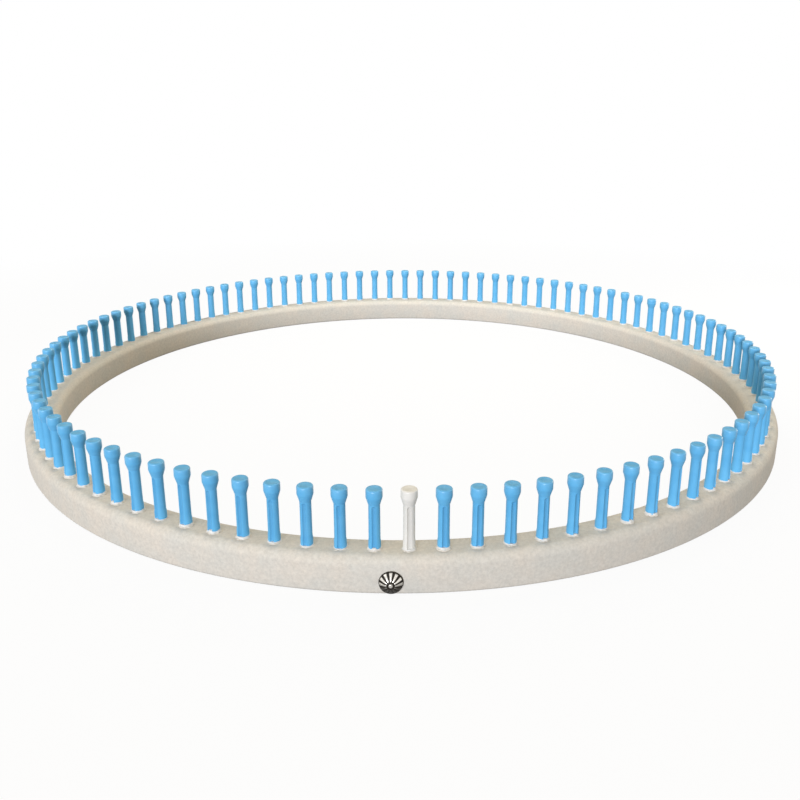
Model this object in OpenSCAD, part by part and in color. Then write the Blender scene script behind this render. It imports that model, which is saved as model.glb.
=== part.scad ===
// Round knitting loom.
// A one-piece ring carries a closed circle of grooved pegs. Each peg stands in a blind socket
// by its tenon, and a bead of white adhesive seals its foot. One white peg marks where the
// round starts, and a fluted nail driven into the ring below it anchors the yarn's end.
// The ring lies flat on z = 0 with its centre at the origin, and the marker peg stands at -Y.

/* [Ring] */
// Outer diameter of the ring
ring_d = 522.7; // [400:0.1:640]
// Number of pegs round the ring, the marker peg included
peg_count = 100; // [60:1:120]
// Width of the ring's section, from its inner face to its outer face
ring_w = 19.4; // [17:0.1:26]
// Height of the ring's section
ring_h = 18.7; // [15:0.1:26]
// How far the peg circle lies outside the middle of the ring's section
peg_shift = 1; // [-1:0.1:2]
// Radius that rounds both top edges of the ring
top_round = 4.6; // [1:0.1:5.5]
// Radius that rounds both bottom edges of the ring
bottom_round = 1.4; // [0.2:0.1:3]

/* [Pegs] */
// Height of a peg above the ring's top
peg_h = 30.3; // [24:0.1:40]
// Diameter of the collar at a peg's foot
foot_d = 5.9; // [5.4:0.1:7]
// Height of the collar, with the slope that joins it to the shaft
foot_h = 5; // [3:0.1:8]
// Height of the slope that joins the collar to the shaft
foot_slope = 1; // [0.4:0.1:2]
// Diameter of the shaft above the collar
shaft_d = 5.5; // [4.8:0.1:6.5]
// Diameter of the shaft at the neck, under the head
neck_d = 5.4; // [4.4:0.1:6]
// Diameter of the head
head_d = 7.8; // [6.8:0.1:9]
// Height of the head's straight band, with its rounded top edge
band_h = 4.1; // [2.5:0.1:6]
// Height of the taper from the neck out to the band
taper_h = 3.6; // [2:0.1:6]
// Radius that rounds the head's top edge
head_round = 0.8; // [0.3:0.1:1.5]
// Radius that blends the taper into the band
shoulder_round = 2.5; // [1:0.5:8]
// How far the lower edge of the taper stands proud of the neck
neck_lip = 0.1; // [0.05:0.05:0.4]

/* [Groove] */
// Diameter of the ball-ended groove down the outer side of a peg
groove_w = 2.6; // [1.6:0.1:3]
// Depth of the groove below the surface of the shaft
groove_depth = 0.5; // [0.3:0.05:0.8]
// Distance from the neck down to the rounded end of the groove
groove_stop = 0.2; // [0.1:0.1:2]
// Height of the groove's lower end above the ring, inside the bead
groove_foot = 0.5; // [0.2:0.1:1]

/* [Seats] */
// Length of the tenon under a peg
tenon_l = 7.5; // [5:0.1:10]
// Width of the shoulder that bears on the ring round the tenon
shoulder_w = 0.5; // [0.3:0.05:0.8]
// Chamfer on the end of the tenon
tenon_chamfer = 0.5; // [0.2:0.1:1]
// Radial play of a tenon in its socket, and room under its end
socket_play = 0.05; // [0.02:0.01:0.15]
// Height of the adhesive bead against the shaft
bead_h = 1.6; // [0.6:0.1:2.4]
// Width of the adhesive bead on the ring
bead_w = 0.8; // [0.6:0.1:2.4]
// Width of the bead's flat top
bead_top_w = 0.3; // [0.1:0.05:0.6]
// Thickness of the bead's outer edge
bead_edge = 0.2; // [0.1:0.05:0.4]
// Radial room between the bead and the shaft
bead_play = 0.05; // [0.02:0.01:0.15]

/* [Anchor] */
// Diameter of the fluted cap, over its ribs
cap_d = 11.5; // [9:0.1:14]
// Height of the cap above the ring's outer face
cap_rise = 3.7; // [3:0.1:5]
// Radius that turns the cap's crown down to its rim
cap_round = 2.4; // [1.4:0.1:2.8]
// Number of ribs on the cap
rib_count = 12; // [8:1:16]
// Width of a rib at the rim
rib_w = 1.7; // [1:0.1:2]
// Width of a rib at its inner end
rib_tip_w = 0.7; // [0.3:0.05:0.8]
// Width of the plain rim outside the flutes
rim_w = 0.7; // [0.3:0.1:1.2]
// Depth of the flutes between the ribs
flute_depth = 0.45; // [0.2:0.05:0.7]
// Thickness of the cap's sheet metal
sheet = 0.45; // [0.3:0.05:0.7]
// Diameter of the round button in the middle of the cap
button_d = 2; // [1.6:0.1:3]
// Width of the plain ring between the button and the ribs
button_ring = 0.9; // [0.4:0.1:1.4]
// Diameter of the nail's shank
nail_d = 1.7; // [1.2:0.1:2.4]
// Length of the shank inside the ring, with its point
nail_l = 13; // [8:0.5:15]
// Length of the nail's point
nail_point = 2.5; // [1:0.1:4]
// Diameter of the nail's head, brazed inside the cap
nail_head_d = 5; // [3:0.1:6]
// Height of the underside of the nail's head above the ring's outer face
nail_head_lift = 1; // [0.4:0.1:1.4]
// Room round the shank in the ring and round the head in the cap
nail_play = 0.05; // [0.02:0.01:0.15]
// Height of the cap's lowest point above the ring's bottom
cap_clear = 0.8; // [0.2:0.1:2]
// Distance of the anchor from the marker peg, clockwise along the outer face
anchor_shift = 8.4; // [0:0.1:12]

/* [Hidden] */
stone = "#dad2c8";
peg_blue = "#5aafe8";
marker_white = "#ebe8e2";
bead_white = "#f4f2ee";
nickel = "#8a857a";
steel = "#b4b4b0";

// Chords that stand for a full turn of the ring, and for a quarter turn of a profile's edge
ring_chords = 360;
edge_chords = 6;
$fn = 48;
// Overshoot of a cut past the surface that it opens
cut_over = 1;

outer_r = ring_d / 2;
inner_r = outer_r - ring_w;
peg_circle_r = outer_r - ring_w / 2 + peg_shift;

foot_r = foot_d / 2;
shaft_r = shaft_d / 2;
neck_r = neck_d / 2;
groove_r = groove_w / 2;
head_r = head_d / 2;
lip_r = neck_r + neck_lip;
neck_z = peg_h - band_h - taper_h;
taper_angle = atan2(head_r - lip_r, taper_h);
shoulder_z = neck_z + taper_h + shoulder_round * tan(taper_angle / 2);
draft = atan2(shaft_r - neck_r, neck_z - foot_h);

tenon_r = foot_r - shoulder_w;
socket_r = tenon_r + socket_play;
socket_l = tenon_l + socket_play;
bead_bore_r = foot_r + bead_play;

anchor_angle = -anchor_shift / outer_r * 180 / PI;
cap_r = cap_d / 2;
anchor_z = cap_clear + cap_r;
hollow_inset = flute_depth + sheet;
rib_start = button_d / 2 + button_ring;

// The pegs are grouped in banks, counted anticlockwise from the marker peg
bank_count = 20;
peg_banks = [for (b = [1 : bank_count]) str("peg_bank_", two_digits(b))];
bead_banks = [for (b = [1 : bank_count]) str("glue_bead_", two_digits(b))];

function two_digits(n) = str(n < 10 ? "0" : "", n);

// Points of an arc, from one angle to another
function arc(centre, radius, from, to) =
    [for (k = [0 : edge_chords])
        let (a = from + (to - from) * k / edge_chords)
        centre + radius * [cos(a), sin(a)]];

// A list without its first entry
function tail(list) = [for (k = [1 : len(list) - 1]) list[k]];

// First peg of a bank; the next bank's first peg ends it
function bank_start(b) = floor(b * peg_count / bank_count);

// Pegs of a bank, counted from the marker peg, which is peg 0
function bank_pegs(b) = [for (i = [bank_start(b) : bank_start(b + 1) - 1]) i];

// Puts its children on the ring's top at a peg's place, with -Y pointing outward
module at_peg(i) {
    rotate([0, 0, 360 * i / peg_count])
        translate([0, -peg_circle_r, ring_h])
            children();
}

// Puts its children on the ring's outer face at the anchor, with +Z pointing outward
module at_anchor() {
    rotate([0, 0, anchor_angle])
        translate([0, -outer_r, anchor_z])
            rotate([90, 0, 0])
                children();
}

module ring_section() {
    polygon(concat(
        arc([inner_r + bottom_round, bottom_round], bottom_round, 180, 270),
        arc([outer_r - bottom_round, bottom_round], bottom_round, 270, 360),
        arc([outer_r - top_round, ring_h - top_round], top_round, 0, 90),
        arc([inner_r + top_round, ring_h - top_round], top_round, 90, 180)
    ));
}

module socket() {
    translate([0, 0, -socket_l])
        cylinder(r = socket_r, h = socket_l + cut_over);
}

module nail_hole() {
    translate([0, 0, -nail_l - nail_play])
        cylinder(d = nail_d + 2 * nail_play, h = nail_l + nail_play + cut_over);
}

module base_ring() {
    color(stone)
        difference() {
            rotate_extrude($fn = ring_chords) ring_section();
            for (i = [0 : peg_count - 1])
                at_peg(i) socket();
            at_anchor() nail_hole();
        }
}

// Half outline of a peg, from the end of its tenon to the top of its head
module peg_outline() {
    polygon(concat(
        [
            [0, -tenon_l],
            [tenon_r - tenon_chamfer, -tenon_l],
            [tenon_r, tenon_chamfer - tenon_l],
            [tenon_r, 0],
            [foot_r, 0],
            [foot_r, foot_h - foot_slope],
            [shaft_r, foot_h],
            [neck_r, neck_z],
            [lip_r, neck_z]
        ],
        arc([head_r - shoulder_round, shoulder_z], shoulder_round, -taper_angle, 0),
        arc([head_r - head_round, peg_h - head_round], head_round, 0, 90),
        [[0, peg_h]]
    ));
}

// Ball-ended groove that faces outward and leans with the draft of the shaft
module groove() {
    groove_l = neck_z - groove_stop - groove_foot;
    translate([0, groove_depth - groove_r - shaft_r, foot_h])
        rotate([-draft, 0, 0])
            translate([0, 0, groove_foot - foot_h])
                rotate_extrude()
                    polygon(concat(
                        [[0, 0], [groove_r, 0]],
                        arc([0, groove_l - groove_r], groove_r, 0, 90)
                    ));
}

module peg() {
    difference() {
        rotate_extrude() peg_outline();
        groove();
    }
}

module marker_peg() {
    color(marker_white)
        at_peg(0) peg();
}

module peg_bank(b) {
    color(peg_blue)
        for (i = bank_pegs(b))
            if (i > 0)
                at_peg(i) peg();
}

// Fillet of adhesive round the foot of a peg, hollowed from its flat top to a thin edge
module glue_bead() {
    edge_r = bead_bore_r + bead_w;
    rotate_extrude()
        polygon(concat(
            [[bead_bore_r, 0], [edge_r, 0]],
            [for (p = arc([1, 1], 1, 270, 180))
                [edge_r - (bead_w - bead_top_w) * (1 - p.x), bead_edge + (bead_h - bead_edge) * p.y]],
            [[bead_bore_r, bead_h]]
        ));
}

module glue_bead_bank(b) {
    color(bead_white)
        for (i = bank_pegs(b))
            at_peg(i) glue_bead();
}

// Full dome of the cap, inset evenly: a flat crown that turns down to an upright rim
module dome(inset) {
    rim_r = cap_r - inset;
    rise = cap_rise - inset;
    turn_r = cap_round - inset;
    turn_x = rim_r - turn_r;
    crown_r = (turn_x * turn_x + rise * rise - turn_r * turn_r) / (2 * (rise - turn_r));
    crown_angle = atan2(crown_r - rise, turn_x);
    rotate_extrude()
        polygon(concat(
            [[0, 0]],
            arc([turn_x, 0], turn_r, 0, crown_angle),
            tail(arc([0, rise - crown_r], crown_r, crown_angle, 90))
        ));
}

// Plan of what stands above the flutes: ribs that widen outward and the plain rim that joins them
module raised_plan() {
    flare = (rib_w - rib_tip_w) / (cap_r - rib_start);
    end_w = rib_w + flare * cut_over;
    difference() {
        circle(r = cap_r + cut_over);
        circle(r = cap_r - rim_w);
    }
    for (k = [0 : rib_count - 1])
        rotate(360 * k / rib_count)
            polygon([
                [-rib_tip_w / 2, rib_start],
                [rib_tip_w / 2, rib_start],
                [end_w / 2, cap_r + cut_over],
                [-end_w / 2, cap_r + cut_over]
            ]);
}

// Round-edged button that stands as high as the ribs, from the middle of the sheet up
module button() {
    button_r = button_d / 2;
    base_z = cap_rise - flute_depth - sheet / 2;
    edge = [button_r - flute_depth, cap_rise - flute_depth];
    rotate_extrude()
        polygon(concat(
            [[0, base_z], [button_r, base_z]],
            arc(edge, flute_depth, 0, 90),
            [[0, cap_rise]]
        ));
}

// Stamped cap: a hollow dome with raised ribs and a button in the middle
module anchor_cap() {
    color(nickel)
        at_anchor()
            difference() {
                union() {
                    dome(flute_depth);
                    intersection() {
                        dome(0);
                        linear_extrude(cap_rise) raised_plan();
                    }
                    button();
                }
                translate([0, 0, -cut_over])
                    cylinder(r = cap_r - hollow_inset, h = cut_over);
                dome(hollow_inset);
            }
}

// Pointed nail whose domed head is brazed inside the cap
module anchor_nail() {
    color(steel)
        at_anchor() {
            translate([0, 0, -nail_l])
                cylinder(d1 = 0, d2 = nail_d, h = nail_point);
            translate([0, 0, nail_point - nail_l])
                cylinder(d = nail_d, h = nail_l - nail_point + nail_head_lift);
            intersection() {
                translate([0, 0, -nail_play])
                    dome(hollow_inset);
                translate([0, 0, nail_head_lift])
                    cylinder(d = nail_head_d, h = cap_rise);
            }
        }
}

base_ring();
marker_peg();
for (b = [0 : bank_count - 1]) {
    peg_bank(b);
    glue_bead_bank(b);
}
anchor_cap();
anchor_nail();
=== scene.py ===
"""Round knitting loom, dressed for its portrait.

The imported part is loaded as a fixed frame. Each sub-assembly of the loom is a class that models its
pieces over the frame's nodes and dresses them: the ring, the pegs, the glue beads and the yarn
anchor. A studio with a floor, lamps and a camera stands round them. Lengths are in metres.
"""

import logging
import math
import random
from collections.abc import Callable
from dataclasses import dataclass
from enum import Enum

import bmesh
import bpy
from mathutils import Matrix, Vector


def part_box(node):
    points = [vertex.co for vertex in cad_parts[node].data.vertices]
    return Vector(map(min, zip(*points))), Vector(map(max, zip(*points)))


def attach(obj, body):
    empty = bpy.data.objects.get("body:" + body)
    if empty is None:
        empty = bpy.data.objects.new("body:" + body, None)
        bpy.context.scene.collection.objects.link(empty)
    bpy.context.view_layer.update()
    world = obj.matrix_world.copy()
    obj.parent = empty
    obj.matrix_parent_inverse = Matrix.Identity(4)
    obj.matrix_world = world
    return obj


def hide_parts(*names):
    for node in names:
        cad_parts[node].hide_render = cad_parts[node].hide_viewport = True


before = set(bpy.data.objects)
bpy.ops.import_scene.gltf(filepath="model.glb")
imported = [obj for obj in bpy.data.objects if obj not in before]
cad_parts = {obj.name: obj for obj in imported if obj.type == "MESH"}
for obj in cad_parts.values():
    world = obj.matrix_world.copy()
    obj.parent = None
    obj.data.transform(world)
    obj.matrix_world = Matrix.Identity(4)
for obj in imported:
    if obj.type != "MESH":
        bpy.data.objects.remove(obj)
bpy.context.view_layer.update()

LOG = logging.getLogger("loom")
MM = 0.001
MERGE = 0.001 * MM
NEAR = 0.01 * MM
ORIGIN = (0.0, 0.0, 0.0)
UP = (0.0, 0.0, 1.0)
BODY = "root"

PEG_COUNT = 100
BANK_COUNT = 20
PEGS_PER_BANK = PEG_COUNT // BANK_COUNT

Colour = tuple[float, float, float]
Place = tuple[float, float, float]
Station = tuple[float, float]
Span = tuple[float, float]

WHITE: Colour = (1.0, 1.0, 1.0)
WHOLE: Span = (0.0, 1.0)


class Slot(Enum):
    """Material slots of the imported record."""

    RING = "ring"
    PEG = "peg"
    MARKER = "marker"
    BEAD = "bead"
    CAP = "cap"
    NAIL = "nail"


class Pick(Enum):
    """What a selection by place picks."""

    VERTS = "VERT"
    FACES = "FACE"


class Mark(Enum):
    """Values from 0 to 1 that a mesh carries at its points, for its finish to read."""

    # Depth in the groove, which drives painted shade there.
    GROOVE = "groove"
    LIP = "lip"
    FILM = "film"
    # Real black wash, and painted shade on the cap's lower half.
    WASH_AND_SHADE = "wash"


def rgba(colour: Colour) -> tuple[float, float, float, float]:
    """A colour with full alpha."""
    return (*colour, 1.0)


def shade(colour: Colour, share: float) -> Colour:
    """A colour with a share of its light."""
    red, green, blue = colour
    return (share * red, share * green, share * blue)


def arc(centre: Station, radius: float, start: float, end: float, chords: int) -> list[Station]:
    """Points along an arc in a profile.

    Args:
        centre: Centre of the arc, as (radius, height).
        radius: Radius of the arc.
        start: Angle of the first point, in degrees.
        end: Angle of the last point, in degrees.
        chords: Number of chords between them.

    Returns:
        The points, as (radius, height).
    """
    angles = [math.radians(start + (end - start) * k / chords) for k in range(chords + 1)]
    return [(centre[0] + radius * math.cos(a), centre[1] + radius * math.sin(a)) for a in angles]


class Bench:
    """Modelling steps as they are done by hand, on the active object."""

    @staticmethod
    def clear() -> None:
        """Leave edit mode and deselect everything."""
        active = bpy.context.view_layer.objects.active
        if active is not None and active.mode != "OBJECT":
            bpy.ops.object.mode_set(mode="OBJECT")
        bpy.ops.object.select_all(action="DESELECT")

    @staticmethod
    def take(name: str) -> bpy.types.Object:
        """Name the primitive that was just added, settle its place and open it for editing.

        Args:
            name: Name of the object and of its mesh.

        Returns:
            The object, in edit mode.
        """
        obj = bpy.context.view_layer.objects.active
        obj.name = name
        obj.data.name = name
        bpy.ops.object.transform_apply(location=True, rotation=True, scale=True)
        bpy.ops.object.mode_set(mode="EDIT")
        return obj

    @staticmethod
    def choose(obj: bpy.types.Object, test: Callable[[Vector], bool],
               what: Pick = Pick.VERTS) -> None:
        """Select the vertices or faces whose place passes a test, and nothing else.

        Args:
            obj: Object in edit mode.
            test: Says whether a vertex, or the middle of a face, is selected.
            what: Whether vertices or faces are tested.
        """
        bpy.ops.mesh.select_mode(type=what.value)
        bpy.ops.mesh.select_all(action="DESELECT")
        mesh = bmesh.from_edit_mesh(obj.data)
        if what is Pick.FACES:
            for face in mesh.faces:
                face.select_set(test(face.calc_center_median()))
        else:
            for vert in mesh.verts:
                if test(vert.co):
                    vert.select_set(True)
        mesh.select_flush_mode()
        bmesh.update_edit_mesh(obj.data)

    @staticmethod
    def raise_rings(start: Station, stations: list[Station]) -> None:
        """Extrude the selected disc ring by ring along +Z.

        Args:
            start: Radius and height of the selected disc.
            stations: Radius and height of each next ring.
        """
        radius, height = start
        for next_radius, next_height in stations:
            bpy.ops.mesh.extrude_region_move(
                TRANSFORM_OT_translate={"value": (0.0, 0.0, next_height - height)})
            ratio = next_radius / radius
            bpy.ops.transform.resize(
                value=(ratio, ratio, 1.0), center_override=(0.0, 0.0, next_height))
            radius, height = next_radius, next_height

    @staticmethod
    def close(obj: bpy.types.Object, sharp_deg: float) -> bpy.types.Object:
        """Merge doubles, turn the faces outward, leave edit mode and smooth the shading.

        Args:
            obj: Object in edit mode.
            sharp_deg: Edges that turn more than this stay sharp.

        Returns:
            The object, in object mode.
        """
        bpy.ops.mesh.select_mode(type="VERT")
        bpy.ops.mesh.select_all(action="SELECT")
        bpy.ops.mesh.remove_doubles(threshold=MERGE)
        bpy.ops.mesh.normals_make_consistent(inside=False)
        bpy.ops.object.mode_set(mode="OBJECT")
        Bench.smooth(obj, sharp_deg)
        return obj

    @staticmethod
    def smooth(obj: bpy.types.Object, sharp_deg: float) -> None:
        """Smooth the shading, with the edges that turn more than an angle left sharp.

        Args:
            obj: Object in object mode.
            sharp_deg: The angle, in degrees.
        """
        Bench.clear()
        obj.select_set(True)
        bpy.context.view_layer.objects.active = obj
        bpy.ops.object.shade_smooth_by_angle(angle=math.radians(sharp_deg))

    @staticmethod
    def apply(obj: bpy.types.Object, modifier: bpy.types.Modifier) -> None:
        """Apply one modifier to its object.

        Args:
            obj: Object in object mode.
            modifier: One of its modifiers.
        """
        Bench.clear()
        obj.select_set(True)
        bpy.context.view_layer.objects.active = obj
        bpy.ops.object.modifier_apply(modifier=modifier.name)

    @staticmethod
    def copy_at(master: bpy.types.Object, place: Matrix, name: str) -> bpy.types.Object:
        """Copy a master with a mesh of its own, and put its place into that mesh.

        Args:
            master: Object to copy.
            place: Where the copy goes, from the master's own frame.
            name: Name of the copy.

        Returns:
            The copy.
        """
        copy = master.copy()
        copy.data = master.data.copy()
        copy.name = name
        copy.data.name = name
        copy.data.transform(place)
        bpy.context.scene.collection.objects.link(copy)
        return copy

    @staticmethod
    def join(pieces: list[bpy.types.Object], name: str) -> bpy.types.Object:
        """Join copies into one piece.

        Args:
            pieces: Objects to join.
            name: Name of the joined piece.

        Returns:
            The joined piece.
        """
        Bench.clear()
        for piece in pieces:
            piece.select_set(True)
        bpy.context.view_layer.objects.active = pieces[0]
        bpy.ops.object.join()
        pieces[0].name = name
        pieces[0].data.name = name
        return pieces[0]

    @staticmethod
    def discard(*objects: bpy.types.Object) -> None:
        """Delete helper objects, such as a cutter or a master.

        Args:
            objects: The objects to delete.
        """
        Bench.clear()
        for obj in objects:
            obj.select_set(True)
        bpy.ops.object.delete()

    @staticmethod
    def mark(obj: bpy.types.Object, mark: Mark, value: Callable[[Vector], float]) -> None:
        """Store a value at every point of a mesh, held between 0 and 1.

        Args:
            obj: Object in object mode.
            mark: What the value stands for.
            value: Gives the value at a place.
        """
        layer = obj.data.attributes.new(mark.value, "FLOAT", "POINT")
        for vert, cell in zip(obj.data.vertices, layer.data):
            cell.value = min(1.0, max(0.0, value(vert.co)))


class Nodes:
    """A small helper that lays out one material's node tree."""

    def __init__(self, name: str) -> None:
        """Start a material with a principled shader.

        Args:
            name: Name of the material.
        """
        self.material = bpy.data.materials.new(name)
        self.material.use_nodes = True
        self.tree = self.material.node_tree
        self.shader = self.tree.nodes["Principled BSDF"]
        self.place = self.add("ShaderNodeTexCoord").outputs["Object"]

    def add(self, kind: str, **settings: object) -> bpy.types.Node:
        """Add a node and set its properties.

        Args:
            kind: Blender's name for the kind of node.
            settings: Properties to set, by name.

        Returns:
            The node.
        """
        node = self.tree.nodes.new(kind)
        for key, value in settings.items():
            setattr(node, key, value)
        return node

    def link(self, source: bpy.types.NodeSocket, target: bpy.types.NodeSocket) -> None:
        """Join an output to an input."""
        self.tree.links.new(source, target)

    def attribute(self, mark: Mark) -> bpy.types.NodeSocket:
        """The value that the mesh carries for a mark."""
        return self.add("ShaderNodeAttribute", attribute_name=mark.value).outputs["Fac"]

    def noise(self, scale: float, detail: float = 2.0,
              roughness: float = 0.5) -> bpy.types.NodeSocket:
        """A noise over the object's own place.

        Args:
            scale: Cells per metre.
            detail: Number of finer layers.
            roughness: Weight of the finer layers.

        Returns:
            The noise's value, about 0.5 on average.
        """
        node = self.add("ShaderNodeTexNoise")
        self.link(self.place, node.inputs["Vector"])
        node.inputs["Scale"].default_value = scale
        node.inputs["Detail"].default_value = detail
        node.inputs["Roughness"].default_value = roughness
        return node.outputs["Fac"]

    def spread(self, value: bpy.types.NodeSocket, low: float, high: float,
               source: Span = (0.3, 0.7)) -> bpy.types.NodeSocket:
        """Map a value from one range to another, held at the ends.

        Args:
            value: Socket to map.
            low: Result at the start of the source range.
            high: Result at the end of the source range.
            source: The source range.

        Returns:
            The mapped value.
        """
        node = self.add("ShaderNodeMapRange")
        self.link(value, node.inputs["Value"])
        node.inputs["From Min"].default_value = source[0]
        node.inputs["From Max"].default_value = source[1]
        node.inputs["To Min"].default_value = low
        node.inputs["To Max"].default_value = high
        return node.outputs["Result"]

    def ramp(self, value: bpy.types.NodeSocket, stops: Span, first: Colour,
             last: Colour) -> bpy.types.NodeSocket:
        """Colour a value by a ramp between two colours.

        Args:
            value: Socket to colour.
            stops: Values at which the first colour ends and the last one starts.
            first: Colour of low values.
            last: Colour of high values.

        Returns:
            The colour.
        """
        node = self.add("ShaderNodeValToRGB")
        for element, position, colour in zip(node.color_ramp.elements, stops, (first, last)):
            element.position = position
            element.color = rgba(colour)
        self.link(value, node.inputs["Fac"])
        return node.outputs["Color"]

    def times(self, first: bpy.types.NodeSocket,
              second: bpy.types.NodeSocket) -> bpy.types.NodeSocket:
        """Multiply two values.

        Args:
            first: The one value.
            second: The other value.

        Returns:
            Their product.
        """
        node = self.add("ShaderNodeMath", operation="MULTIPLY")
        self.link(first, node.inputs[0])
        self.link(second, node.inputs[1])
        return node.outputs["Value"]

    def mix(self, factor: bpy.types.NodeSocket, first: bpy.types.NodeSocket,
            second: bpy.types.NodeSocket) -> bpy.types.NodeSocket:
        """Mix two colours by a factor.

        Args:
            factor: Share of the second colour.
            first: The first colour.
            second: The second colour.

        Returns:
            The mixed colour.
        """
        node = self.add("ShaderNodeMix", data_type="RGBA")
        self.link(factor, node.inputs["Factor"])
        self.link(first, node.inputs["A"])
        self.link(second, node.inputs["B"])
        return node.outputs["Result"]

    def bump(self, height: bpy.types.NodeSocket, depth: float, strength: float = 1.0) -> None:
        """Add a bump to the shader's normal, after any bump that is there already.

        Args:
            height: Height, from 0 to 1.
            depth: What a height of 1 stands for, in metres.
            strength: Share of the bump that is used.
        """
        node = self.add("ShaderNodeBump")
        node.inputs["Distance"].default_value = depth
        node.inputs["Strength"].default_value = strength
        self.link(height, node.inputs["Height"])
        normal = self.shader.inputs["Normal"]
        if normal.is_linked:
            self.link(normal.links[0].from_socket, node.inputs["Normal"])
        self.link(node.outputs["Normal"], normal)

    def set(self, **values: float | Colour) -> None:
        """Set the shader's plain values, with _ for the spaces in a socket's name."""
        for key, value in values.items():
            self.shader.inputs[key.replace("_", " ")].default_value = value

    def feed(self, name: str, socket: bpy.types.NodeSocket) -> None:
        """Feed a socket of the shader."""
        self.link(socket, self.shader.inputs[name])


@dataclass(frozen=True)
class StonePlastic:
    """Stone-coloured sheet plastic: faintly mottled and matte, with a fine pebbled skin."""

    warm: Colour = (0.772, 0.704, 0.616)
    grey: Colour = (0.716, 0.686, 0.623)
    mottle_scale: float = 52.0
    mottle_detail: float = 4.0
    mottle_weight: float = 0.6
    mottle_stops: Span = (0.35, 0.65)
    speck_shade: float = 0.82
    speck_scale: float = 620.0
    speck_detail: float = 3.0
    speck_weight: float = 0.7
    pebble_scale: float = 1500.0
    pebble_depth: float = 0.03 * MM
    pebble_share: float = 0.6
    roughness: Span = (0.46, 0.6)
    specular: float = 0.02

    def material(self) -> bpy.types.Material:
        """Build the material.

        Returns:
            The material.
        """
        nodes = Nodes("stone_plastic")
        mottle = nodes.noise(self.mottle_scale, self.mottle_detail, self.mottle_weight)
        specks = nodes.noise(self.speck_scale, self.speck_detail, self.speck_weight)
        broad = nodes.ramp(mottle, self.mottle_stops, self.warm, self.grey)
        dark_warm, dark_grey = (shade(c, self.speck_shade) for c in (self.warm, self.grey))
        fine = nodes.ramp(mottle, self.mottle_stops, dark_warm, dark_grey)
        nodes.feed("Base Color", nodes.mix(nodes.spread(specks, *WHOLE), broad, fine))
        nodes.feed("Roughness", nodes.spread(mottle, *self.roughness))
        nodes.bump(nodes.noise(self.pebble_scale), self.pebble_depth, self.pebble_share)
        nodes.set(Specular_IOR_Level=self.specular)
        return nodes.material


@dataclass(frozen=True)
class SatinNylon:
    """Moulded nylon: cloudy and satin, with painted shade in its groove and a burnished lip."""

    name: str
    colour: Colour
    deep: Colour
    cloud_scale: float = 160.0
    cloud_detail: float = 3.0
    cloud_stops: Span = (0.3, 0.7)
    # Share of light left by the painted shade deep in the groove.
    groove_shade: float = 0.85
    burnish: float = 0.9
    burnish_roughness: float = 0.32
    ripple_scale: float = 420.0
    ripple_depth: float = 0.05 * MM
    ripple_share: float = 0.5
    roughness: Span = (0.3, 0.42)
    glow: float = 0.06
    glow_depth: float = 1.0 * MM
    specular: float = 0.1

    def material(self) -> bpy.types.Material:
        """Build the material.

        Returns:
            The material.
        """
        nodes = Nodes(self.name)
        cloud = nodes.noise(self.cloud_scale, self.cloud_detail)
        clean = nodes.ramp(cloud, self.cloud_stops, self.deep, self.colour)
        # Painted shade: the colour darkens deep in the groove, standing in for the groove's shadow.
        shaded_deep, shaded_colour = (shade(c, self.groove_shade) for c in (self.deep, self.colour))
        groove_shaded = nodes.ramp(cloud, self.cloud_stops, shaded_deep, shaded_colour)
        nodes.feed("Base Color", nodes.mix(nodes.attribute(Mark.GROOVE), clean, groove_shaded))
        lip = nodes.attribute(Mark.LIP)
        nodes.feed("Coat Weight", nodes.spread(lip, 0.0, self.burnish, WHOLE))
        ripple = nodes.noise(self.ripple_scale)
        nodes.feed("Roughness", nodes.spread(ripple, *self.roughness))
        nodes.bump(ripple, self.ripple_depth, self.ripple_share)
        nodes.set(Subsurface_Weight=self.glow, Subsurface_Scale=self.glow_depth,
                  Subsurface_Radius=WHITE, Specular_IOR_Level=self.specular,
                  Coat_Roughness=self.burnish_roughness)
        return nodes.material


@dataclass(frozen=True)
class SetAdhesive:
    """White adhesive that has set: milky and lumpy by the shaft, a cream film at its edge."""

    milk: Colour = (0.73, 0.735, 0.725)
    cream: Colour = (0.70, 0.66, 0.60)
    film_stops: Span = (0.22, 0.6)
    film_ragged: Span = (0.6, 1.4)
    lump_scale: float = 700.0
    lump_detail: float = 3.0
    lump_depth: float = 0.12 * MM
    lump_share: float = 0.7
    roughness: Span = (0.35, 0.55)
    glow: float = 0.12
    glow_depth: float = 1.0 * MM
    specular: float = 0.15

    def material(self) -> bpy.types.Material:
        """Build the material.

        Returns:
            The material.
        """
        nodes = Nodes("set_adhesive")
        lumps = nodes.noise(self.lump_scale, self.lump_detail)
        film = nodes.times(nodes.attribute(Mark.FILM), nodes.spread(lumps, *self.film_ragged))
        nodes.feed("Base Color", nodes.ramp(film, self.film_stops, self.milk, self.cream))
        nodes.feed("Roughness", nodes.spread(lumps, *self.roughness))
        nodes.bump(lumps, self.lump_depth, self.lump_share)
        nodes.set(Subsurface_Weight=self.glow, Subsurface_Scale=self.glow_depth,
                  Subsurface_Radius=WHITE, Specular_IOR_Level=self.specular)
        return nodes.material


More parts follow.
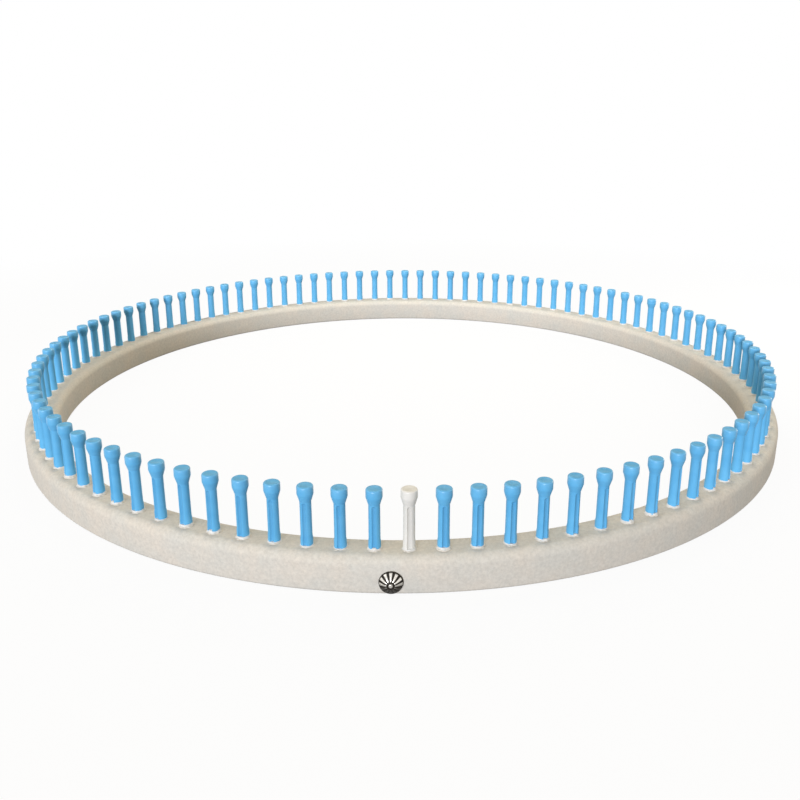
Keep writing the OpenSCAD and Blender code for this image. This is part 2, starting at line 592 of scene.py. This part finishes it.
@dataclass(frozen=True)
class AntiquedNickel:
    """Nickel plate with a black lacquer wash left in the flutes and rubbed off the ribs, and the same
    black as painted shade low on the cap.
    """

    bright: Colour = (0.93, 0.90, 0.84)
    worn: Colour = (0.66, 0.61, 0.53)
    metal_stops: Span = (0.3, 0.62)
    metal_end: Span = (0.2, 0.9)
    wash: Colour = (0.010, 0.008, 0.006)
    wash_gain: float = 3.0
    wash_stops: Span = (0.3, 0.8)
    grain_scale: float = 2200.0
    grain_detail: float = 3.0
    grain_depth: float = 0.02 * MM
    grain_share: float = 0.4
    roughness: Span = (0.24, 0.5)
    specular: float = 0.12

    def material(self) -> bpy.types.Material:
        """Build the material.

        Returns:
            The material.
        """
        nodes = Nodes("antiqued_nickel")
        # The mark carries the real wash and painted shade over the cap's lower half; both turn the
        # metal black.
        wash_and_shade = nodes.attribute(Mark.WASH_AND_SHADE)
        grain = nodes.noise(self.grain_scale, self.grain_detail)
        metal = nodes.ramp(grain, self.metal_stops, self.worn, self.bright)
        black = nodes.ramp(grain, self.wash_stops, self.wash, shade(self.wash, self.wash_gain))
        nodes.feed("Base Color", nodes.mix(wash_and_shade, metal, black))
        nodes.feed("Metallic", nodes.spread(wash_and_shade, 1.0, 0.0, self.metal_end))
        nodes.feed("Roughness", nodes.spread(wash_and_shade, *self.roughness, WHOLE))
        nodes.bump(grain, self.grain_depth, self.grain_share)
        nodes.set(Specular_IOR_Level=self.specular)
        return nodes.material


@dataclass(frozen=True)
class DrawnSteel:
    """Plain drawn steel wire, with faint marks along it."""

    pale: Colour = (0.50, 0.50, 0.48)
    dark: Colour = (0.36, 0.36, 0.35)
    mark_scale: float = 1800.0
    mark_stops: Span = (0.35, 0.65)
    roughness: Span = (0.3, 0.45)

    def material(self) -> bpy.types.Material:
        """Build the material.

        Returns:
            The material.
        """
        nodes = Nodes("drawn_steel")
        marks = nodes.noise(self.mark_scale)
        nodes.feed("Base Color", nodes.ramp(marks, self.mark_stops, self.dark, self.pale))
        nodes.feed("Roughness", nodes.spread(marks, *self.roughness))
        nodes.set(Metallic=1.0)
        return nodes.material


@dataclass
class PegCircle:
    """The closed circle that the pegs stand on, read from the frame."""

    radius: float
    top: float

    @classmethod
    def from_frame(cls) -> "PegCircle":
        """Read the circle from the marker peg and the ring."""
        low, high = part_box("marker_peg")
        return cls(radius=-(low.y + high.y) / 2, top=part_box("base_ring")[1].z)

    def place(self, index: int) -> Matrix:
        """Where a peg stands.

        Args:
            index: The peg's count from the marker peg, anticlockwise from above.

        Returns:
            The place on the ring's top, with -Y pointing outward.
        """
        turn = Matrix.Rotation(math.tau * index / PEG_COUNT, 4, "Z")
        return turn @ Matrix.Translation((0.0, -self.radius, self.top))

    @staticmethod
    def bank(number: int) -> range:
        """Pegs of a bank, counted from the marker peg, for a bank counted from 1."""
        return range((number - 1) * PEGS_PER_BANK, number * PEGS_PER_BANK)


def dress(piece: bpy.types.Object, material: bpy.types.Material, slot: Slot, *nodes: str) -> None:
    """Give a piece its finish, tie it to the frame and say which nodes it stands for.

    Args:
        piece: The finished piece.
        material: Its material.
        slot: The record's slot that the finish belongs to; not used.
        nodes: CAD nodes that the piece replaces.
    """
    piece.data.materials.clear()
    piece.data.materials.append(material)
    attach(piece, BODY)
    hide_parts(*nodes)
    LOG.info("%s stands for %s, %d faces", piece.name, ", ".join(nodes), len(piece.data.polygons))


@dataclass
class LoomRing:
    """The one-piece ring: flat below, with rounded top edges and eased bottom edges."""

    finish: StonePlastic
    width: float = 19.4 * MM
    top_round: float = 4.6 * MM
    bottom_round: float = 1.4 * MM
    round_profile: float = 0.5
    top_chords: int = 10
    bottom_chords: int = 5
    turn_steps: int = 400
    sharp_deg: float = 30.0

    def build(self) -> bpy.types.Object:
        """Model the ring by spinning its bevelled section round the loom's axis.

        Returns:
            The ring.
        """
        low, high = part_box("base_ring")
        outer, height = min(high.x, high.y, -low.x, -low.y), high.z
        Bench.clear()
        bpy.ops.mesh.primitive_plane_add(
            size=1.0, location=(outer - self.width / 2, 0.0, height / 2),
            rotation=(math.pi / 2, 0.0, 0.0))
        bpy.context.view_layer.objects.active.scale = (self.width, height, 1.0)
        ring = Bench.take("ring")
        for edge_z, radius, chords in ((height, self.top_round, self.top_chords),
                                       (0.0, self.bottom_round, self.bottom_chords)):
            Bench.choose(ring, lambda p, z=edge_z: abs(p.z - z) < NEAR)
            bpy.ops.mesh.bevel(offset=radius, segments=chords, profile=self.round_profile,
                               affect="VERTICES")
        bpy.ops.mesh.select_all(action="SELECT")
        bpy.ops.mesh.delete(type="ONLY_FACE")
        bpy.ops.mesh.select_all(action="SELECT")
        bpy.ops.mesh.spin(steps=self.turn_steps, angle=math.tau, center=ORIGIN, axis=UP)
        return Bench.close(ring, self.sharp_deg)

    def make(self) -> None:
        """Build and dress the ring."""
        dress(self.build(), self.finish.material(), Slot.RING, "base_ring")


@dataclass
class PegShape:
    """A moulded peg: collared foot, drafted shaft, tapered head and a ball-ended groove."""

    height: float
    head_r: float
    foot_r: float = 2.95 * MM
    foot_h: float = 5.0 * MM
    foot_slope: float = 1.0 * MM
    shaft_r: float = 2.75 * MM
    neck_r: float = 2.7 * MM
    neck_lip: float = 0.1 * MM
    band_h: float = 4.1 * MM
    taper_h: float = 3.6 * MM
    head_round: float = 0.8 * MM
    head_chords: int = 5
    shoulder_round: float = 2.5 * MM
    shoulder_chords: int = 4
    dish_r: float = 2.2 * MM
    dish_floor: float = 0.8
    dish_depth: float = 0.12 * MM
    groove_r: float = 1.2 * MM
    groove_depth: float = 0.75 * MM
    groove_stop: float = 0.2 * MM
    groove_run: float = 1.2
    # Share of the groove depth at which the groove's painted shade is full.
    groove_shade_full: float = 0.7
    lip_top: float = 0.1
    lip_low: float = 1.1
    columns: int = 48
    groove_columns: int = 24
    sharp_deg: float = 32.0

    @property
    def neck_z(self) -> float:
        """Height of the neck above the foot."""
        return self.height - self.band_h - self.taper_h

    def profile(self) -> list[Station]:
        """Lay out the rings of the peg above its foot.

        Returns:
            The rings, as (radius, height).
        """
        lip_r = self.neck_r + self.neck_lip
        taper = math.atan2(self.head_r - lip_r, self.taper_h)
        shoulder_z = self.neck_z + self.taper_h + self.shoulder_round * math.tan(taper / 2)
        shoulder = arc((self.head_r - self.shoulder_round, shoulder_z), self.shoulder_round,
                       -math.degrees(taper), 0.0, self.shoulder_chords)
        edge = arc((self.head_r - self.head_round, self.height - self.head_round),
                   self.head_round, 0.0, 90.0, self.head_chords)
        dish = [(self.dish_r, self.height),
                (self.dish_floor * self.dish_r, self.height - self.dish_depth)]
        foot = [(self.foot_r, self.foot_h - self.foot_slope), (self.shaft_r, self.foot_h)]
        return [*foot, (self.neck_r, self.neck_z), (lip_r, self.neck_z), *shoulder, *edge, *dish]

    def cutter(self) -> bpy.types.Object:
        """Model the groove's cutter: a ball drawn out into a long round-ended bar.

        Returns:
            The bar, where it cuts the peg on the origin.
        """
        draft = math.atan2(self.shaft_r - self.neck_r, self.neck_z - self.foot_h)
        reach = self.neck_z - self.groove_stop - self.groove_r - self.foot_h
        Bench.clear()
        bpy.ops.mesh.primitive_uv_sphere_add(
            segments=self.groove_columns, ring_count=self.groove_columns // 2, radius=self.groove_r)
        bar = Bench.take("groove_cutter")
        Bench.choose(bar, lambda p: p.z < 0.0, Pick.FACES)
        bpy.ops.mesh.extrude_region_move(
            TRANSFORM_OT_translate={"value": (0.0, 0.0, -self.groove_run * self.height)})
        bpy.ops.object.mode_set(mode="OBJECT")
        lean = Matrix.Rotation(-draft, 4, "X")
        foot = Matrix.Translation(
            (0.0, self.groove_depth - self.groove_r - self.shaft_r, self.foot_h))
        bar.data.transform(foot @ lean @ Matrix.Translation((0.0, 0.0, reach)))
        return bar

    def master(self, name: str) -> bpy.types.Object:
        """Model one peg on the origin, with its groove towards -Y.

        Args:
            name: Name of the master.

        Returns:
            The peg.
        """
        Bench.clear()
        bpy.ops.mesh.primitive_circle_add(
            vertices=self.columns, radius=self.foot_r, fill_type="NGON")
        peg = Bench.take(name)
        bpy.ops.mesh.select_mode(type="FACE")
        bpy.ops.mesh.select_all(action="SELECT")
        Bench.raise_rings((self.foot_r, 0.0), self.profile())
        Bench.close(peg, self.sharp_deg)
        bar = self.cutter()
        cut = peg.modifiers.new("groove", "BOOLEAN")
        cut.operation = "DIFFERENCE"
        cut.solver = "EXACT"
        cut.object = bar
        Bench.apply(peg, cut)
        Bench.discard(bar)
        Bench.smooth(peg, self.sharp_deg)
        self.mark_shade_and_burnish(peg)
        return peg

    def mark_shade_and_burnish(self, peg: bpy.types.Object) -> None:
        """Mark each point's depth in the groove, for painted shade, and whether it is on the head's
        lip.

        Args:
            peg: The peg, on the origin.
        """
        def in_groove(p: Vector) -> float:
            """How deep a point lies in the groove, which sets its painted shade."""
            under = (self.neck_r - math.hypot(p.x, p.y)) / (self.groove_shade_full * self.groove_depth)
            return under if p.z < self.neck_z else 0.0

        def on_lip(p: Vector) -> float:
            """Whether a point lies on the rounded lip, as 1 or 0."""
            down = (self.height - p.z) / self.head_round
            return float(self.lip_top < down < self.lip_low and math.hypot(p.x, p.y) > self.dish_r)

        # The groove mark drives painted shade in the groove's colour.
        Bench.mark(peg, Mark.GROOVE, in_groove)
        Bench.mark(peg, Mark.LIP, on_lip)


@dataclass
class Pegs:
    """The circle of pegs: banks of blue ones and the pale marker."""

    circle: PegCircle
    shape: PegShape
    blue: SatinNylon
    white: SatinNylon

    def make(self) -> None:
        """Model one peg, copy it round the circle and dress the copies."""
        master = self.shape.master("peg_master")
        blue = self.blue.material()
        for number in range(1, BANK_COUNT + 1):
            node = f"peg_bank_{number:02d}"
            copies = [Bench.copy_at(master, self.circle.place(i), f"peg_{i:03d}")
                      for i in self.circle.bank(number) if i > 0]
            dress(Bench.join(copies, f"pegs_{number:02d}"), blue, Slot.PEG, node)
        marker = Bench.copy_at(master, self.circle.place(0), "peg_marker")
        dress(marker, self.white.material(), Slot.MARKER, "marker_peg")
        Bench.discard(master)


@dataclass
class GlueBeads:
    """Beads of white adhesive squeezed out round the pegs, some with a tongue up the groove."""

    circle: PegCircle
    finish: SetAdhesive
    bore_r: float = 2.9 * MM
    width: float = 0.7 * MM
    height: float = 1.15 * MM
    hollow: float = 0.8
    hollow_profile: float = 0.1
    hollow_chords: int = 4
    turn_steps: int = 48
    tongue_deg: float = 20.0
    tongue_h: float = 0.7 * MM
    tongue_in: float = 1.0 * MM
    tongue_root: float = 0.5
    rim_share: float = 0.3
    bore_share: float = 0.01
    lump_size: float = 1.5 * MM
    lump_layers: int = 1
    lump_height: float = 0.8 * MM
    lump_middle: float = 0.5
    least_h: float = 0.5
    most_h: float = 1.3
    tongue_share: float = 0.4
    seed: int = 11
    sharp_deg: float = 50.0

    def master(self, tongue_h: float) -> bpy.types.Object:
        """Model one even bead on the origin, from a hollowed section spun round the peg.

        Args:
            tongue_h: How far the adhesive has crept up the groove.

        Returns:
            The bead.
        """
        Bench.clear()
        bpy.ops.mesh.primitive_plane_add(
            size=1.0, location=(0.5, 0.0, 0.5), rotation=(math.pi / 2, 0.0, 0.0))
        bead = Bench.take("bead_master")
        Bench.choose(bead, lambda p: min(p.x, p.z) > 1.0 - NEAR)
        bpy.ops.mesh.bevel(offset=self.hollow, segments=self.hollow_chords,
                           profile=self.hollow_profile, affect="VERTICES")
        bpy.ops.mesh.select_all(action="SELECT")
        bpy.ops.transform.resize(value=(self.width, 1.0, self.height), center_override=ORIGIN)
        bpy.ops.transform.translate(value=(self.bore_r, 0.0, 0.0))
        bpy.ops.mesh.delete(type="ONLY_FACE")
        bpy.ops.mesh.select_all(action="SELECT")
        bpy.ops.mesh.spin(steps=self.turn_steps, angle=math.tau, center=ORIGIN, axis=UP)
        self.press_tongue(bead, tongue_h)
        Bench.close(bead, self.sharp_deg)
        Bench.mark(bead, Mark.FILM, self.thinness)
        return bead

    def press_tongue(self, bead: bpy.types.Object, tongue_h: float) -> None:
        """Fill the groove's foot: push the bore in there and pull its rim up.

        Args:
            bead: The bead, in edit mode, with the groove towards -Y.
            tongue_h: How far the rim is pulled up.
        """
        rim = self.bore_r + self.rim_share * self.width
        bore = self.bore_r + self.bore_share * self.width

        def at_groove(p: Vector, reach: float) -> bool:
            """Whether a point within reach of the axis faces the groove."""
            off = abs(math.degrees(math.atan2(p.x, -p.y)))
            return off < self.tongue_deg and math.hypot(p.x, p.y) < reach

        Bench.choose(bead, lambda p: at_groove(p, rim) and p.z > self.tongue_root * self.height)
        bpy.ops.transform.translate(value=(0.0, 0.0, tongue_h))
        Bench.choose(bead, lambda p: at_groove(p, bore))
        bpy.ops.transform.translate(value=(0.0, self.tongue_in, 0.0))

    def thinness(self, p: Vector) -> float:
        """How thin the adhesive is at a point, from 0 at the shaft to 1 at the edge."""
        return (math.hypot(p.x, p.y) - self.bore_r) / self.width

    def lumps(self) -> bpy.types.Texture:
        """Set up the cloud that makes every bead uneven in its own way.

        Returns:
            The cloud.
        """
        cloud = bpy.data.textures.new("bead_lumps", type="CLOUDS")
        cloud.noise_scale = self.lump_size
        cloud.noise_depth = self.lump_layers
        return cloud

    def make(self) -> None:
        """Model one bead, copy it to every foot, lump the copies and dress them."""
        plain, crept = self.master(0.0), self.master(self.tongue_h)
        cloud = self.lumps()
        material = self.finish.material()
        chance = random.Random(self.seed)
        for number in range(1, BANK_COUNT + 1):
            node = f"glue_bead_{number:02d}"
            copies = []
            for i in self.circle.bank(number):
                rise = Matrix.Scale(chance.uniform(self.least_h, self.most_h), 4, UP)
                master = crept if chance.random() < self.tongue_share else plain
                copies.append(Bench.copy_at(master, self.circle.place(i) @ rise, f"bead_{i:03d}"))
            bank = Bench.join(copies, f"beads_{number:02d}")
            lump = bank.modifiers.new("lumps", "DISPLACE")
            lump.texture = cloud
            lump.texture_coords = "GLOBAL"
            lump.strength = self.lump_height
            lump.mid_level = self.lump_middle
            Bench.apply(bank, lump)
            dress(bank, material, Slot.BEAD, node)
        Bench.discard(plain, crept)


@dataclass
class YarnAnchor:
    """The fluted, domed nail that the yarn's end is tied to."""

    finish: AntiquedNickel
    steel: DrawnSteel
    cap_round: float = 2.4 * MM
    rib_count: int = 12
    columns_per_rib: int = 10
    flute_depth: float = 0.5 * MM
    flute_steps: tuple[float, ...] = (0.1, 0.75, 1.0, 1.0)
    flute_gap: float = 0.05 * MM
    flute_wash: Span = (0.4, 0.2)
    rib_crown: float = 0.08 * MM
    rib_steps: tuple[float, ...] = (-1.0, -0.6)
    rim_w: float = 0.7 * MM
    rim_wash: float = 0.45 * MM
    rim_wash_full: float = 0.5
    # Painted shade over the cap's lower half: its strength, start and full height.
    low_painted_shade: float = 0.95
    low_shade_start: float = 0.3
    low_shade_full: float = 0.55
    button_r: float = 1.0 * MM
    button_foot: float = 0.15 * MM
    button_edge: float = 0.3 * MM
    button_turn: Span = (0.85, 0.4)
    button_ease: float = 0.08 * MM
    button_wash: float = 0.45
    button_wash_r: float = 1.04
    ring_w: float = 0.9 * MM
    ring_wall: float = 0.15 * MM
    ring_foot: float = 0.1 * MM
    turn_rings: int = 5
    crown_rings: int = 5
    subdivisions: int = 1
    sharp_deg: float = 60.0

    @property
    def inner_r(self) -> float:
        """Radius where the ribs end, round the button."""
        return self.button_r + self.ring_w

    def stations(self, rim_r: float, rise: float) -> list[Station]:
        """Lay out the rings of the cap above its rim: the side, crown, sunk ring and button.

        Args:
            rim_r: Radius of the rim.
            rise: Height of the button's top.

        Returns:
            The rings, as (radius, height).
        """
        turn_x = rim_r - self.cap_round
        crown_r = (turn_x ** 2 + rise ** 2 - self.cap_round ** 2) / (2 * (rise - self.cap_round))
        meet = math.degrees(math.atan2(crown_r - rise, turn_x))
        end = math.degrees(math.acos(self.inner_r / crown_r))
        side = arc((turn_x, 0.0), self.cap_round, 0.0, meet, self.turn_rings)[1:]
        crown = arc((0.0, rise - crown_r), crown_r, meet, end, self.crown_rings)[1:]
        deep = crown[-1][1] - self.flute_depth
        sunk = [(self.inner_r - self.ring_wall, deep), (self.button_r + self.ring_foot, deep)]
        turn, flat = self.button_turn
        button = [(self.button_r, deep + self.button_foot),
                  (self.button_r, rise - self.button_edge),
                  (turn * self.button_r, rise - self.button_ease), (flat * self.button_r, rise)]
        return [*side, *crown, *sunk, *button]

    def build(self) -> bpy.types.Object:
        """Model the cap face up on the origin, then set it on the ring's outer face.

        Returns:
            The cap.
        """
        low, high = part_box("anchor_cap")
        centre = (low + high) / 2
        rim_r = (high.z - low.z) / 2
        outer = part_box("base_ring")[1].x
        azimuth = math.atan2(centre.x, -centre.y)
        rise = -low.y / math.cos(azimuth) - outer
        Bench.clear()
        bpy.ops.mesh.primitive_circle_add(
            vertices=self.rib_count * self.columns_per_rib, radius=rim_r, fill_type="NGON")
        cap = Bench.take("anchor_cap_nickel")
        bpy.ops.mesh.select_mode(type="FACE")
        bpy.ops.mesh.select_all(action="SELECT")
        Bench.raise_rings((rim_r, 0.0), self.stations(rim_r, rise))
        self.flute(cap, rim_r)
        Bench.close(cap, self.sharp_deg)
        smooth = cap.modifiers.new("smooth", "SUBSURF")
        smooth.levels = self.subdivisions
        smooth.render_levels = self.subdivisions
        Bench.apply(cap, smooth)
        self.mark_wash_and_shade(cap, rim_r)
        Bench.smooth(cap, self.sharp_deg)
        seat = Matrix.Translation((0.0, -outer, centre.z)) @ Matrix.Rotation(math.pi / 2, 4, "X")
        cap.data.transform(Matrix.Rotation(azimuth, 4, "Z") @ seat)
        return cap

    def off_rib(self, p: Vector) -> float:
        """Measure how far a point is turned from the middle of the nearest rib.

        Args:
            p: The point, on the cap face up on the origin.

        Returns:
            The turn, from 0 on the rib to 1 in the middle of the flute.
        """
        period = math.tau / self.rib_count
        turn = math.atan2(p.x, p.y) % period
        return min(turn, period - turn) / (period / 2)

    def flute(self, cap: bpy.types.Object, rim_r: float) -> None:
        """Crown the ribs and press the flutes in between them, column by column.

        Args:
            cap: The cap, in edit mode.
            rim_r: Radius of the rim.
        """
        half = self.columns_per_rib // 2
        dome_r, brim_r = self.inner_r + self.flute_gap, rim_r - self.rim_w
        depths = [step * self.rib_crown for step in self.rib_steps]
        depths += [step * self.flute_depth for step in self.flute_steps]
        for column, depth in enumerate(depths):
            def on_column(p: Vector) -> bool:
                """Whether a point lies on this column, between the plain rim and the sunk ring."""
                on_dome = dome_r < math.hypot(p.x, p.y) < brim_r
                return on_dome and abs(self.off_rib(p) - column / half) < 0.5 / half

            Bench.choose(cap, on_column)
            scale = 1.0 - depth / rim_r
            bpy.ops.transform.resize(value=(scale, scale, scale), center_override=ORIGIN)

    def mark_wash_and_shade(self, cap: bpy.types.Object, rim_r: float) -> None:
        """Mark how much black each point keeps: wash in the flutes, the sunk ring and the rim, and
        painted shade low on the cap.

        Args:
            cap: The cap, face up on the origin.
            rim_r: Radius of the rim.
        """
        def kept(p: Vector) -> float:
            """Say how much black a point keeps, as wash or as painted shade.

            Args:
                p: The point.

            Returns:
                The share of black, where 0 or less is none and 1 or more is all.
            """
            radius = math.hypot(p.x, p.y)
            if radius < self.button_wash_r * self.button_r:
                return self.button_wash
            if radius < self.inner_r:
                return 1.0
            start, span = self.flute_wash
            in_flute = (self.off_rib(p) - start) / span
            at_rim = (radius - rim_r + self.rim_wash) / (self.rim_wash_full * self.rim_wash)
            # Painted shade: the cap's lower half turns black, standing in for dark reflections below
            # it.
            low = (self.low_shade_start * rim_r - p.y) / (self.low_shade_full * rim_r)
            return max(in_flute, at_rim, self.low_painted_shade * min(1.0, low))

        Bench.mark(cap, Mark.WASH_AND_SHADE, kept)

    def make(self) -> None:
        """Build and dress the cap, and give the hidden nail its steel."""
        dress(self.build(), self.finish.material(), Slot.CAP, "anchor_cap")
        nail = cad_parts["anchor_nail"]
        nail.data.materials.clear()
        nail.data.materials.append(self.steel.material())
        LOG.info("anchor_nail keeps its CAD shape")


@dataclass(frozen=True)
class SoftLamp:
    """A round soft lamp that faces the loom."""

    name: str
    place: Place
    power: float
    size: float = 0.3


@dataclass
class Studio:
    """Floor, lamps and camera."""

    eye_distance: float = 0.5861
    eye_height: float = 0.2141
    eye_azimuth_deg: float = -0.294
    pitch_deg: float = 16.486
    yaw_deg: float = 1.987
    roll_deg: float = 0.449
    lens_mm: float = 36.666
    sensor_mm: float = 36.0
    shift: Span = (-0.0367, -0.0663)
    floor_half: float = 12.0
    floor_drop: float = 0.05 * MM
    floor_roughness: float = 0.9
    floor_glow: float = 0.92
    fade: Span = (0.4, 0.8)
    paper: Colour = (0.95, 0.95, 0.95)
    bounce: Colour = (0.07, 0.06, 0.05)
    sun_strength: float = 2.55
    sun_colour: Colour = (0.955, 1.0, 1.10)
    sun_azimuth_deg: float = -18.0
    sun_elevation_deg: float = 10.0
    sun_size_deg: float = 20.0
    soft_colour: Colour = (1.0, 0.94, 0.82)
    soft_lamps: tuple[SoftLamp, ...] = (
        SoftLamp("left", place=(-0.6, -0.4, 0.45), power=0.45),
        SoftLamp("over", place=(0.0, 0.15, 0.45), power=0.95),
        SoftLamp("right", place=(0.62, 0.22, 0.2), power=1.15))
    sky_strength: float = 0.49
    sky_colour: Colour = (1.0, 0.92, 0.74)

    @staticmethod
    def seen(tree: bpy.types.NodeTree) -> bpy.types.NodeSocket:
        """Add nodes that say whether the camera looks at a place, straight on or by gloss or glass.

        Args:
            tree: Node tree of a material or a world.

        Returns:
            The value, 1 where it does and 0 elsewhere.
        """
        rays = tree.nodes.new("ShaderNodeLightPath")
        found = rays.outputs["Is Camera Ray"]
        for kind in ("Is Glossy Ray", "Is Transmission Ray"):
            either = tree.nodes.new("ShaderNodeMath")
            either.operation = "MAXIMUM"
            tree.links.new(found, either.inputs[0])
            tree.links.new(rays.outputs[kind], either.inputs[1])
            found = either.outputs["Value"]
        return found

    def floor(self) -> None:
        """A pale floor that keeps the loom's shadow and reads as white paper to the camera."""
        Bench.clear()
        bpy.ops.mesh.primitive_plane_add(
            size=2 * self.floor_half, location=(0.0, 0.0, -self.floor_drop))
        floor = bpy.context.view_layer.objects.active
        floor.name = "floor"
        nodes = Nodes("paper_floor")
        seen = self.seen(nodes.tree)
        nodes.feed("Base Color", nodes.ramp(seen, WHOLE, self.bounce, self.paper))
        nodes.set(Roughness=self.floor_roughness, Specular_IOR_Level=0.0)
        glow = nodes.add("ShaderNodeEmission")
        glow.inputs["Color"].default_value = rgba(WHITE)
        away = nodes.add("ShaderNodeVectorMath", operation="LENGTH")
        nodes.link(nodes.place, away.inputs[0])
        whiter = nodes.spread(away.outputs["Value"], self.floor_glow, 1.0, self.fade)
        blend = nodes.add("ShaderNodeMixShader")
        nodes.link(nodes.times(seen, whiter), blend.inputs["Fac"])
        nodes.link(nodes.shader.outputs["BSDF"], blend.inputs[1])
        nodes.link(glow.outputs["Emission"], blend.inputs[2])
        nodes.link(blend.outputs["Shader"], nodes.tree.nodes["Material Output"].inputs["Surface"])
        floor.data.materials.append(nodes.material)

    def sky(self) -> None:
        """A white sky: full white to the camera and to gloss, and a soft fill for the rest."""
        world = bpy.data.worlds.new("studio_sky")
        world.use_nodes = True
        tree = world.node_tree
        fill = tree.nodes["Background"]
        fill.inputs["Color"].default_value = rgba(self.sky_colour)
        fill.inputs["Strength"].default_value = self.sky_strength
        white = tree.nodes.new("ShaderNodeBackground")
        white.inputs["Color"].default_value = rgba(WHITE)
        white.inputs["Strength"].default_value = 1.0
        blend = tree.nodes.new("ShaderNodeMixShader")
        tree.links.new(self.seen(tree), blend.inputs["Fac"])
        tree.links.new(fill.outputs["Background"], blend.inputs[1])
        tree.links.new(white.outputs["Background"], blend.inputs[2])
        tree.links.new(blend.outputs["Shader"], tree.nodes["World Output"].inputs["Surface"])
        bpy.context.scene.world = world

    def lamps(self) -> None:
        """A broad, far key lamp to the left of the camera, and soft lamps close to the loom."""
        data = bpy.data.lights.new("key", "SUN")
        data.energy = self.sun_strength
        data.color = self.sun_colour
        data.angle = math.radians(self.sun_size_deg)
        azimuth = math.radians(self.sun_azimuth_deg)
        elevation = math.radians(self.sun_elevation_deg)
        flat = math.cos(elevation)
        self.aim(data, Vector((math.sin(azimuth) * flat, -math.cos(azimuth) * flat,
                               math.sin(elevation))))
        for lamp in self.soft_lamps:
            data = bpy.data.lights.new(lamp.name, "AREA")
            data.shape = "DISK"
            data.size = lamp.size
            data.energy = lamp.power
            data.color = self.soft_colour
            self.aim(data, Vector(lamp.place))

    @staticmethod
    def aim(data: bpy.types.Light, place: Vector) -> None:
        """Hang a lamp at a place and turn it towards the loom.

        Args:
            data: The lamp's light.
            place: Where it hangs.
        """
        lamp = bpy.data.objects.new(data.name, data)
        lamp.location = place
        lamp.rotation_euler = place.to_track_quat("Z", "Y").to_euler()
        bpy.context.scene.collection.objects.link(lamp)

    def camera(self) -> None:
        """The camera at the photograph's place."""
        data = bpy.data.cameras.new("camera")
        data.sensor_width = self.sensor_mm
        data.lens = self.lens_mm
        data.shift_x, data.shift_y = self.shift
        camera = bpy.data.objects.new("camera", data)
        around = math.radians(self.eye_azimuth_deg)
        eye = Vector((math.sin(around) * self.eye_distance, -math.cos(around) * self.eye_distance,
                      self.eye_height))
        yaw, pitch = math.radians(self.yaw_deg), math.radians(self.pitch_deg)
        ahead = Vector((math.sin(yaw) * math.cos(pitch), math.cos(yaw) * math.cos(pitch),
                        -math.sin(pitch)))
        right = ahead.cross(Vector(UP)).normalized()
        up = right.cross(ahead)
        upright = Matrix((right, up, -ahead)).transposed().to_4x4()
        roll = Matrix.Rotation(math.radians(self.roll_deg), 4, "Z")
        camera.matrix_world = Matrix.Translation(eye) @ upright @ roll
        bpy.context.scene.collection.objects.link(camera)
        bpy.context.scene.camera = camera

    def make(self) -> None:
        """Set up the whole studio."""
        self.floor()
        self.sky()
        self.lamps()
        self.camera()
        bpy.context.scene.view_settings.view_transform = "Standard"


def main() -> None:
    """Build the loom piece by piece, then the studio."""
    logging.basicConfig(level=logging.INFO, format="%(message)s")
    circle = PegCircle.from_frame()
    peg_low, peg_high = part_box("marker_peg")
    shape = PegShape(height=peg_high.z - circle.top, head_r=(peg_high.x - peg_low.x) / 2)
    LoomRing(StonePlastic()).make()
    blue = SatinNylon("blue_nylon", colour=(0.15, 0.48, 0.79), deep=(0.12, 0.435, 0.75))
    white = SatinNylon("white_nylon", colour=(0.80, 0.78, 0.74), deep=(0.76, 0.74, 0.695))
    Pegs(circle, shape, blue, white).make()
    GlueBeads(circle, SetAdhesive()).make()
    YarnAnchor(AntiquedNickel(), DrawnSteel()).make()
    Studio().make()


if __name__ == "__main__":
    main()
